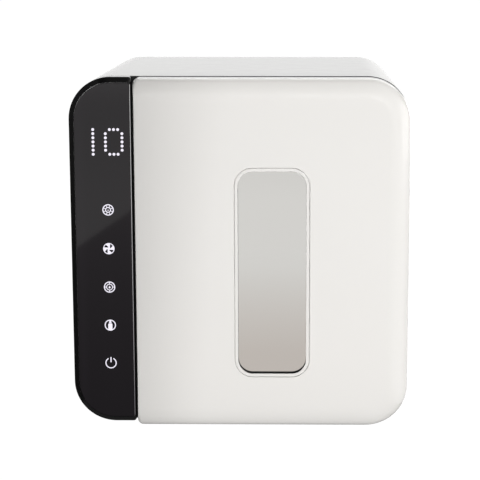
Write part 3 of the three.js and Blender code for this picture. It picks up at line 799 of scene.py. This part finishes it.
def crowned():
    """The door's face and sides: its edge falls away in a quarter ellipse, narrow on the left."""
    levels = []
    for inset, depth in falling(CROWN_WIDE, CROWN_DEEP, FILLET_STEPS * 3):
        small = max(SMALL_CORNER - inset * 0.3, 1)
        large = CASE_CORNER - inset
        far = SHADOW_LINE + inset
        rect = rect_of(DOOR, (small, large, large, small), (inset * LEFT_SHARE, far, inset, far))
        levels.append((rect, 0, DOOR.front + depth, 0))
    return levels + [(levels[-1][0], 0, DOOR.back, EDGE)]


def door_hollow():
    """The cover's inside, from its back edge to its skin."""
    wall = 4.5
    round_in = 5.5
    corner = CASE_CORNER - wall
    hollow = rect_of(DOOR, (5, corner, corner, 5), (WALL, wall, wall, wall))
    skin = DOOR.front + WALL
    inside = [(inset, skin + depth, 0) for inset, depth in falling(round_in, round_in)[::-1]]
    return levels_on(hollow, (0, DOOR.back, 0), *inside)


def window_lip(radius=0.5):
    """The rounded edge of the cover's face at the window."""
    lip = [(-inset, DOOR.front + depth, 0) for inset, depth in falling(radius, radius)[::-1]]
    return levels_on(WINDOW_RECT, *lip)


def build_door_cover():
    profile = crowned() + door_hollow() + [(WINDOW_RECT, 0, DOOR.front + WALL, 0)] + window_lip()
    cutters = [edge_relief(), *arm_slots()]
    swept("door_cover", profile, WHITE, "door", cutters)


def build_door_liner():
    """The door's back, with a groove for the gasket and an opening for the window."""
    corners = (3, LINER_CORNER, LINER_CORNER, 3)
    rect = rect_of(DOOR, corners, (0.6, LINER_INSET, 0.6, LINER_INSET))
    seat = LINER.back - 1.8
    groove = 3.3
    profile = levels_on(rect, (0, LINER.front, 0.4), (0, LINER.back, 0.5))
    profile += levels_on(GASKET_RECT, (-GAP, LINER.back, 0), (-GAP, seat, 0))
    profile += levels_on(GASKET_RECT, (groove, seat, 0), (groove, LINER.back, 0))
    profile += levels_on(WINDOW_RECT, (RIM, LINER.back, 0), (RIM, LINER.front, 0))
    cutters = [edge_relief(), *arm_slots()]
    swept("door_liner", profile, BLACK_SATIN, "door", cutters)


def build_gasket():
    """A soft bulb on a foot."""
    bulb = levels_on(GASKET_RECT, (0, GASKET.front, 0.3), (0.1, GASKET.back, 1.2))
    bulb += levels_on(GASKET_RECT, (2.9, GASKET.back, 1.2), (3.0, GASKET.front, 0.3))
    swept("door_gasket", bulb, SILICONE, "door")


def build_reflector():
    plate = extent("door_reflector")
    pressed = levels_on(rect_of(plate, MOUTH_CORNER - 2), (0, plate.front, 0.2), (0, plate.back, 0.3))
    pressed += levels_on(WINDOW_RECT, (RIM + 1, plate.back, 0), (RIM + 1, plate.front, 0))
    swept("door_reflector", pressed, STEEL_UP, "door")


def build_rim():
    """The window's white rim, which snaps in behind the door's skin."""
    seal = extent("window_seal")
    pocket = RIM - SEAL_LIP
    snap = BEZEL.front + WALL
    outside = (GAP, BEZEL.front, 0.5), (GAP, snap, 0)
    flange = (-SNAP, snap + 0.05, 0.2), (-SNAP, snap + 1.25, 0.2), (GAP, snap + 1.3, 0)
    behind = (GAP, BEZEL.back, EDGE), (pocket, BEZEL.back, EDGE), (pocket, seal.front - GAP, 0)
    inside = (RIM, seal.front - GAP, 0), (RIM, BEZEL.front, 0.35)
    rim = levels_on(WINDOW_RECT, *outside, *flange, *behind, *inside)
    swept("window_bezel", rim, WHITE, "door")


def build_pane():
    """A black seal in the rim's pocket, and the mirrored glass behind it."""
    glass = extent("window_glass")
    seal = extent("window_seal")
    face = glass.front + SEAL_DEEP
    outer = RIM - SEAL_LIP + GAP
    strip = levels_on(WINDOW_RECT, (outer, seal.front, 0.2), (outer, face - 0.1, 0.2))
    strip += levels_on(WINDOW_RECT, (RIM, face - 0.1, 0.1), (RIM, seal.front, 0.2))
    swept("window_seal", strip, RUBBER, "door")
    centre = 20
    pane = levels_on(WINDOW_RECT, (centre, face, 0), (outer, face, 0.2))
    pane += levels_on(WINDOW_RECT, (outer, glass.back, EDGE), (centre, glass.back, 0))
    swept("window_glass", pane, MIRROR, "door", closed=False)


# ---- chamber
def build_chamber():
    """The bright steel liner, and its back with slots for the fan's air and for what leaves."""
    wall = rect_of(CHAMBER, MOUTH_CORNER + 2)
    profile = tube_profile(wall, 1, CHAMBER.front, CHAMBER.back, 0.2)
    swept("chamber_wrap", profile, STEEL_ACROSS, "housing")

    back = extent("chamber_back")
    x = middle(back).x
    pitch = 7
    size = (56, 3.2, 1.5)
    cutters = vents(back, x, middle(extent("fan_frame")).z - 3.5 * pitch, 8, pitch, size)
    cutters += vents(back, x, 270, 4, pitch, size)
    sheet = plate_profile(rect_of(back, MOUTH_CORNER + 2), back.front, back.back, 0.2)
    swept("chamber_back", sheet, STEEL_UP, "housing", cutters, closed=False)


def build_lamps():
    """A row of chips under the clear lens of each ultraviolet bar."""
    count = 9
    half = 1.8
    for which in ("upper", "lower"):
        trough = extent(f"uv_bar_{which}")
        lens = extent(f"uv_lens_{which}")
        y = middle(trough).y
        z = (trough.top + lens.bottom) / 2 if which == "lower" else (trough.bottom + lens.top) / 2
        chips = []
        for k in range(count):
            x = trough.left + (k + 0.5) * (trough.right - trough.left) / count
            chips.append(((x - half, x + half), (y - half, y + half), (z - 0.1, z + 0.1)))
        mesh = boxes_mesh(f"uv_chips_{which}", *chips)
        link(mesh.name, mesh, LAMP_CHIP, "housing")


# ---- wire racks
def bent(points, radius, closed=False, steps=6):
    """Points of a wire with its corners bent to a radius."""
    result = []
    count = len(points)
    for i, point in enumerate(points):
        here = Vector(point)
        if not closed and i in (0, count - 1):
            result.append(here)
            continue
        before = Vector(points[i - 1]) - here
        after = Vector(points[(i + 1) % count]) - here
        reach = min(radius, 0.45 * before.length, 0.45 * after.length)
        start = before.normalized() * reach
        end = after.normalized() * reach
        for k in range(steps + 1):
            t = k / steps
            result.append(here + start * (1 - t) ** 2 + end * t**2)
    return result


def wires(name, paths, body, nodes):
    """Wires in one piece. Each path is (points, radius, closed)."""
    curve = bpy.data.curves.new(name, "CURVE")
    curve.dimensions = "3D"
    curve.bevel_depth = MM
    curve.bevel_resolution = 4
    curve.use_fill_caps = True
    for points, radius, closed in paths:
        spline = curve.splines.new("POLY")
        spline.points.add(len(points) - 1)
        for target, point in zip(spline.points, points):
            target.co = (*(point * MM), 1)
            target.radius = radius
        spline.use_cyclic_u = closed
        spline.use_smooth = True
    return link(name, curve, WIRE, body, nodes)


def spread(low, high, count):
    """Places evenly between two ends, without the ends."""
    return [low + (high - low) * (i + 1) / (count + 1) for i in range(count)]


THIN = 1.5  # wire radii
THICK = 2
RACK_BASE = 40
LEG_INSET = 10


def loop(left, right, front, back, z, corner=8):
    corners = [(left, front, z), (right, front, z), (right, back, z), (left, back, z)]
    return bent(corners, corner, True), THICK, True


def build_bottle_rack():
    """One basket: a floor of wires whose ends turn up to a rim, on four legs."""
    rack = extent("bottle_rack")
    left, right = rack.left + THICK, rack.right - THICK
    front, back = rack.front + THICK, rack.back - THICK
    base = RACK_BASE + 0.2
    rim = extent("rack_fence").top - THICK
    paths = [loop(left, right, front, back, rim), loop(left, right, front, back, base)]
    for x in spread(left, right, 7):
        ends = [(x, front, rim), (x, front, base), (x, back, base), (x, back, rim)]
        paths.append((bent(ends, 5), THIN, False))
    for y in spread(front, back, 3):
        low = base - THIN
        ends = [(left, y, rim), (left, y, low), (right, y, low), (right, y, rim)]
        paths.append((bent(ends, 5), THIN, False))
    for x in (left + LEG_INSET, right - LEG_INSET):
        for y in (front, back):
            leg = [Vector((x, y, rim)), Vector((x, y, rack.bottom + 0.1))]
            paths.append((leg, THICK * 0.9, False))
    wires("bottle_rack_fine", paths, "rack", ["bottle_rack", "rack_fence"])


def build_shelf():
    shelf = extent("accessory_shelf")
    left, right = shelf.left + THICK, shelf.right - THICK
    front, back = shelf.front + THICK, shelf.back - THICK
    level = shelf.top - THICK
    paths = [loop(left, right, front, back, level - 0.2)]
    for x in spread(left, right, 13):
        paths.append(([Vector((x, front, level)), Vector((x, back, level))], THIN, False))
    y, z = (front + back) / 2, shelf.bottom + THIN
    paths.append(([Vector((left, y, z)), Vector((right, y, z))], THIN, False))
    wires("accessory_shelf_fine", paths, "shelf", ["accessory_shelf"])


# ---- back
SLOT = (66, 4, 1.9)  # width, height and corner of a vent
SLOT_PITCH = 9


def build_rear():
    """The case's back: vents at the top, and openings for the filter, the inlet and the screws."""
    fan = middle(extent("fan_frame"))
    inlet = middle(extent("mains_inlet"))
    cutters = []
    for x in (fan.x - 38, fan.x + 38):
        cutters += vents(REAR, x, 255, 6, SLOT_PITCH, SLOT)
    bay = rect_at(fan.x, fan.z, FILTER.right - FILTER.left + 0.8, FILTER.top - FILTER.bottom + 0.8, 6.4)
    cutters += [slot_mesh(bay, REAR), slot_mesh(rect_at(inlet.x, inlet.z, 28.6, 22.6, 3), REAR)]
    for node in SCREWS:
        hole = arc_points(middle(extent(node)).x, middle(extent(node)).z, 2.2, steps=32)
        cutters.append(prism_mesh("cutter", hole, REAR.front - THROUGH, REAR.back + THROUGH, True))
    profile = cover_profile(CASE_RECT, REAR, 2.2)
    swept("rear_cover", profile, WHITE, "housing", cutters, closed=False)


def faced_back(mesh, x, y, z, turn=0.0):
    """Turns a mesh made along Z so that it points to the back, and puts it at a place."""
    turned = Matrix.Rotation(-math.pi / 2, 4, "X") @ Matrix.Rotation(turn, 4, "Z")
    mesh.transform(Matrix.Translation(Vector((x, y, z)) * MM) @ turned)
    smooth(mesh)


def build_screws():
    """Pan heads with crossed recesses."""
    radius = 3.4
    dome = 0.65  # share of the head's height
    long, narrow, deep = (-1.9, 1.9), (-0.35, 0.35), (0.7, 3)
    seat = REAR.back + 0.2
    for number, node in enumerate(SCREWS, 1):
        place = extent(node)
        rise = place.back - seat
        curve = falling(radius, rise * dome, 6)[:0:-1]
        profile = [(0, 0), (radius, 0), *((radius - inset, rise - depth) for inset, depth in curve)]
        mesh = lathe_mesh("screw", [*profile, (0, rise)], 32)
        for recess in ((long, narrow, deep), (narrow, long, deep)):
            mesh = carve(mesh, boxes_mesh("cutter", recess))
        faced_back(mesh, middle(place).x, seat, middle(place).z, 0.5 * number)
        mesh.name = f"screw_head_{number}"
        mesh.materials.clear()
        link(mesh.name, mesh, STEEL_PLAIN, "housing")


def build_filter():
    """The filter's slotted cover."""
    centre = middle(FILTER)
    profile = cover_profile(rect_of(FILTER, 6), FILTER, 1.6)
    cutters = vents(FILTER, centre.x, centre.z - 3 * SLOT_PITCH, 7, SLOT_PITCH, (60, *SLOT[1:]))
    swept("filter_cover", profile, WHITE, "filter", cutters, closed=False)


def build_pleats():
    """The filter's pleats, which run up and down."""
    media = extent("filter_media")
    pleats = 14
    deep = 3.5
    half = (media.right - media.left) / pleats / 2
    ring = [
        (media.left + k * half, media.front if k % 2 else media.front + deep)
        for k in range(2 * pleats + 1)
    ]
    ring += [(x, y + media.back - media.front - deep) for x, y in ring[::-1]]
    mesh = prism_mesh("filter_pleats_fine", ring, media.bottom, media.top)
    smooth(mesh, 20)
    link(mesh.name, mesh, FIBRE, "filter", ["filter_media"])


def build_feet():
    """Ribbed rubber feet with a hollow in the middle of the sole."""
    for node in FEET:
        place = extent(node)
        centre = middle(place)
        radius = place.right - centre.x
        top = place.top
        profile = [
            (0, 0.5), (0.6, 0.5), (0.66, 0), (0.85, 0), (0.95, 0.4), (1, 1.4), (1, top - 2.2),
            (0.96, top - 1.9), (0.96, top - 1.3), (1, top - 1), (1, top), (0, top),
        ]
        mesh = lathe_mesh(f"{node}_fine", [(share * radius, z) for share, z in profile])
        mesh.transform(Matrix.Translation(Vector((centre.x, centre.y, 0)) * MM))
        smooth(mesh)
        link(mesh.name, mesh, RUBBER, "housing", [node])


# ---- fan
HUB = 16
TIP = 36.3
BLADES = 7
BLADE_LONG = 8  # a blade's faces from hub to tip, and across it
BLADE_ACROSS = 6


def build_hub():
    place = extent("fan_impeller")
    front, back = place.front, place.back
    profile = [(0, front), (HUB * 0.8, front), (HUB * 0.95, front + 0.6), (HUB, front + 2)]
    profile += [(HUB, back - 0.4), (HUB - 0.4, back), (0, back)]
    mesh = lathe_mesh("impeller_hub_fine", profile)
    faced_back(mesh, FAN.x, 0, FAN.z)
    link(mesh.name, mesh, BLACK_SATIN, "fan_rotor", ["fan_impeller"])


def blade_point(blade, side, i, j):
    """A point on one side of a swept, twisted and cambered blade."""
    out, over = i / BLADE_LONG, j / BLADE_ACROSS
    root = HUB - 0.5
    radius = root + (TIP - root) * out
    pitch = math.radians(52 - 16 * out)
    lean = 2 * math.pi * blade / BLADES + 0.25 * out**2
    chord = (over - 0.5) * 15
    camber = 1.2 * (1 - (2 * over - 1) ** 2)
    angle = lean + chord * math.cos(pitch) / radius
    y = middle(extent("fan_impeller")).y + chord * math.sin(pitch) + camber + side * 1.3 / 2
    return FAN.x + radius * math.cos(angle), y, FAN.z + radius * math.sin(angle)


def build_blades():
    """Swept, twisted blades, each a tube of rings from the hub to the tip."""
    verts = []
    faces = []
    steps = range(BLADE_ACROSS + 1)
    ring = [(-1, j) for j in steps] + [(1, j) for j in steps[::-1]]
    for blade in range(BLADES):
        start = len(verts)
        for i in range(BLADE_LONG + 1):
            verts += [blade_point(blade, side, i, j) for side, j in ring]
        faces += tube_faces(len(ring), start, len(verts))
    mesh = mesh_of("impeller_blades_fine", verts, faces)
    smooth(mesh)
    link(mesh.name, mesh, BLACK_SATIN, "fan_rotor")


# ---- carried-over CAD nodes
def paint(material, *nodes):
    for node in nodes:
        mesh = frame["nodes"][node].data
        mesh.materials.clear()
        mesh.materials.append(material)


def paint_frame():
    paint(STEEL_PLAIN, *both("hinge_bracket"), *both("hinge_pin"), *both("catch_plate"))
    paint(STEEL_PLAIN, *both("uv_bar"), "shelf_rail_left", "shelf_rail_right", "heater_element")
    paint(STEEL_PLAIN, *SCREWS)
    paint(BLACK_SATIN, "fan_frame", "heater_duct", "mains_inlet", "door_sensor", "light_tray")
    paint(BLACK_SATIN, "transformer", *both("door_magnet"))
    paint(BOARD, "control_board", "power_board")
    paint(BRASS, *(f"touch_electrode_{k}" for k in range(1, 6)))
    paint(CLEAR, *both("uv_lens"), "window_inner_pane")
    paint(SILICONE, *both("hinge_block"), "display_module")


# ---- studio
CAMERA_PLACE = Vector((52.9, -1490.9, 441.9))
CAMERA_YAW = 0.688
CAMERA_PITCH = 9.56
CAMERA_LENS = 109.13
CAMERA_SHIFT = (-0.08, -0.07)
BACKDROP = 1.05  # brightness of what the camera sees behind the object
AMBIENT = 0.22
KEY_POWER = 13
FILL_POWER = 150
BACK_POWER = 17
FLAG_LEFT_HEIGHT = 168  # where the panel's reflected dark edge runs, at its left and right sides
FLAG_RIGHT_HEIGHT = 214


def add_camera():
    data = bpy.data.cameras.new("camera")
    data.lens = CAMERA_LENS
    data.shift_x, data.shift_y = CAMERA_SHIFT
    data.clip_end = 200
    camera = new_object("camera", data)
    camera.location = CAMERA_PLACE * MM
    camera.rotation_euler = (math.radians(90 - CAMERA_PITCH), 0, math.radians(CAMERA_YAW))
    bpy.context.scene.camera = camera


def add_area(name, place, size, power, colour=(1, 1, 1)):
    """A soft box that points at the object."""
    target = Vector((20, -100, 180))
    data = bpy.data.lights.new(name, "AREA")
    data.shape = "RECTANGLE"
    data.size, data.size_y = (side * MM for side in size)
    data.energy = power
    data.color = colour
    lamp = new_object(name, data)
    lamp.location = Vector(place) * MM
    lamp.rotation_euler = (target - Vector(place)).to_track_quat("-Z", "Y").to_euler()
    return lamp


def add_floor():
    """The pale floor glows, so that it stays white while a faint shadow still shows on it.
    Its glow falls off far in front."""
    size = 60000
    mesh = mesh_of("floor", level_card(-size, size, -size, size, 0), [(0, 1, 2, 3)])
    made = Nodes("pale_floor", Roughness=0.9, Specular_IOR_Level=0.0, Emission_Color=(1, 1, 1, 1))
    made.shade(
        Base_Color=made.between(made.noise(2), grey(0.09), grey(0.1)),
        Emission_Strength=made.ranged(made.axes("Object")["Y"], 0.7, 1.0, -4.0, -1.5),
    )
    floor = link("floor", mesh, made.material, None)
    floor.visible_diffuse = False


def card_mesh(name, corners, material):
    """A flat studio card, which only reflections and shadows see."""
    mesh = bpy.data.meshes.new(name)
    mesh.from_pydata([Vector(corner) * MM for corner in corners], [], [tuple(range(len(corners)))])
    card = link(name, mesh, material, None)
    card.visible_camera = False
    card.visible_transmission = False
    return card


def level_card(left, right, front, back, z=1):
    return [(left, front, z), (right, front, z), (right, back, z), (left, back, z)]


def add_card(name, corners, axis, low, high):
    """A studio card that only reflections see. low and high are (place along the axis, colour)."""
    material = bpy.data.materials.new(name)
    made = Tree(material)
    made.tree.nodes.clear()
    fade = made.ranged(made.axes("Object")[axis], 0.0, 1.0, low[0] * MM, high[0] * MM)
    glow = made.node("Emission", Color=made.between(fade, (*low[1], 1), (*high[1], 1)))
    made.node("OutputMaterial", Surface=glow.outputs["Emission"])
    card = card_mesh(name, corners, material)
    card.visible_diffuse = False
    card.visible_shadow = False


def mirrored_floor(x, z, level=1.5):
    """The point just over the floor that the camera sees mirrored at (x, z) on the panel's glass."""
    mirrored = Vector((CAMERA_PLACE.x, 2 * GLASS.front - CAMERA_PLACE.y, CAMERA_PLACE.z))
    ray = Vector((x, GLASS.front, z)) - mirrored
    return mirrored + ray * ((level - mirrored.z) / ray.z)


def add_panel_flag():
    """The slanting dark shape that the panel's glass mirrors."""
    past = 4
    places = (
        (PANEL.left - past, past),
        (PANEL.right + past, past),
        (PANEL.right + past, FLAG_RIGHT_HEIGHT),
        (PANEL.left - past, FLAG_LEFT_HEIGHT),
    )
    corners = [mirrored_floor(x, z) for x, z in places]
    far, near = (0.6, 0.57, 0.6), (0.32, 0.3, 0.32)
    add_card("flag_panel", corners, "Y", (corners[2].y, far), (corners[0].y, near))


def add_flags():
    """What the glossy parts mirror: floor strips darkened near the object as painted shadow, a dark
    side on the left, a light above.
    """
    black, white = (0.03,) * 3, (4,) * 3
    add_panel_flag()
    # The window mirrors this strip: bright far off like the white floor, and darker towards the object,
    # a painted shadow of the object on the floor.
    strip = level_card(-110, 180, -330, -1000)
    add_card("window_floor_shade_strip", strip, "Y", (-900, (1.04, 1.04, 1.04)), (-420, (0.83, 0.78, 0.75)))
    # This strip under and just in front of the object is a painted contact shadow, dark at the object
    # and fading outwards, which the door's lower edge mirrors.
    foot = level_card(-175, 180, 140, -330)
    add_card("foot_painted_shadow_card", foot, "Y", (-330, (0.7, 0.67, 0.64)), (-157, (0.1, 0.1, 0.1)))
    add_card("flag_ground", level_card(-420, -175, -600, 300), "X", (-420, black), (-175, black))
    side = [(-420, -1100, 0), (-420, 300, 0), (-420, 300, 900), (-420, -1100, 900)]
    add_card("flag_left", side, "Z", (0, (0.02,) * 3), (900, (0.12,) * 3))
    above = level_card(-320, 1500, -40, 1500, 1500)
    add_card("light_top", above, "Y", (-40, white), (1500, white))
    add_blocker()


def add_blocker():
    """A black flag beside the front, which takes some of the front light off the door's left."""
    made = Nodes("black_cloth", Base_Color=(0.02, 0.02, 0.02, 1), Roughness=1.0, Specular_IOR_Level=0.0)
    x, near, top = -150, -158, 900
    corners = [(x, near, 0), (x, -410, 0), (x, -570, top), (x, near, top)]
    card = card_mesh("flag_door", corners, made.material)
    card.visible_glossy = False


def add_world():
    """A white backdrop, dim light all round, and a room that reflections see darker on the left,
    darker above and bright behind."""
    world = bpy.data.worlds.new("studio")
    bpy.context.scene.world = world
    made = Tree(world)
    way = made.axes("Generated")
    rays = made.node("LightPath").outputs

    def joined(operation, first, second):
        node = made.node("Math")
        node.operation = operation
        made.put(node.inputs[0], first)
        made.put(node.inputs[1], second)
        return node.outputs[0]

    def chosen(ray, otherwise, value):
        """One brightness for a kind of ray and another for the rest."""
        node = made.node("Mix")
        for socket, given in zip((0, 2, 3), (rays[ray], otherwise, value)):
            made.put(node.inputs[socket], given)
        return node.outputs[0]

    from_left = made.ranged(way["X"], 0.06, 0.95, -0.3, 0.5)
    to_top = made.ranged(way["Z"], 1.0, 0.3, 0.1, 0.8)
    behind = made.ranged(way["Y"], 0.0, 1.1, 0.05, 0.4)
    room = joined("MAXIMUM", joined("MULTIPLY", from_left, to_top), behind)
    shown = made.tree.nodes["Background"].inputs
    made.put(shown["Color"], (1, 1, 1, 1))
    lit = chosen("Is Glossy Ray", AMBIENT, room)
    made.put(shown["Strength"], chosen("Is Camera Ray", lit, BACKDROP))


def add_lights():
    """Low soft boxes in front and on the right; two more behind light the sides and the back."""
    add_area("key_right", (1800, -1000, 400), (1800, 900), KEY_POWER, (1, 0.99, 0.975))
    fill = add_area("fill_front", (-250, -4500, 560), (3200, 800), FILL_POWER)
    fill.visible_glossy = False
    add_area("back_left", (-1500, 900, 400), (1000, 700), BACK_POWER)
    add_area("back_right", (1400, 1200, 400), (1000, 700), BACK_POWER)


def add_studio():
    add_floor()
    add_world()
    add_flags()
    add_lights()
    add_camera()
    bpy.context.scene.view_settings.view_transform = "Standard"


for build in (
    build_wrap, build_frame, build_bezel, build_glass, build_signs, build_door_cover, build_door_liner,
    build_gasket, build_reflector, build_rim, build_pane, build_chamber, build_lamps,
    build_bottle_rack, build_shelf, build_rear, build_screws, build_filter, build_pleats, build_feet,
    build_hub, build_blades, paint_frame, add_studio,
):
    build()
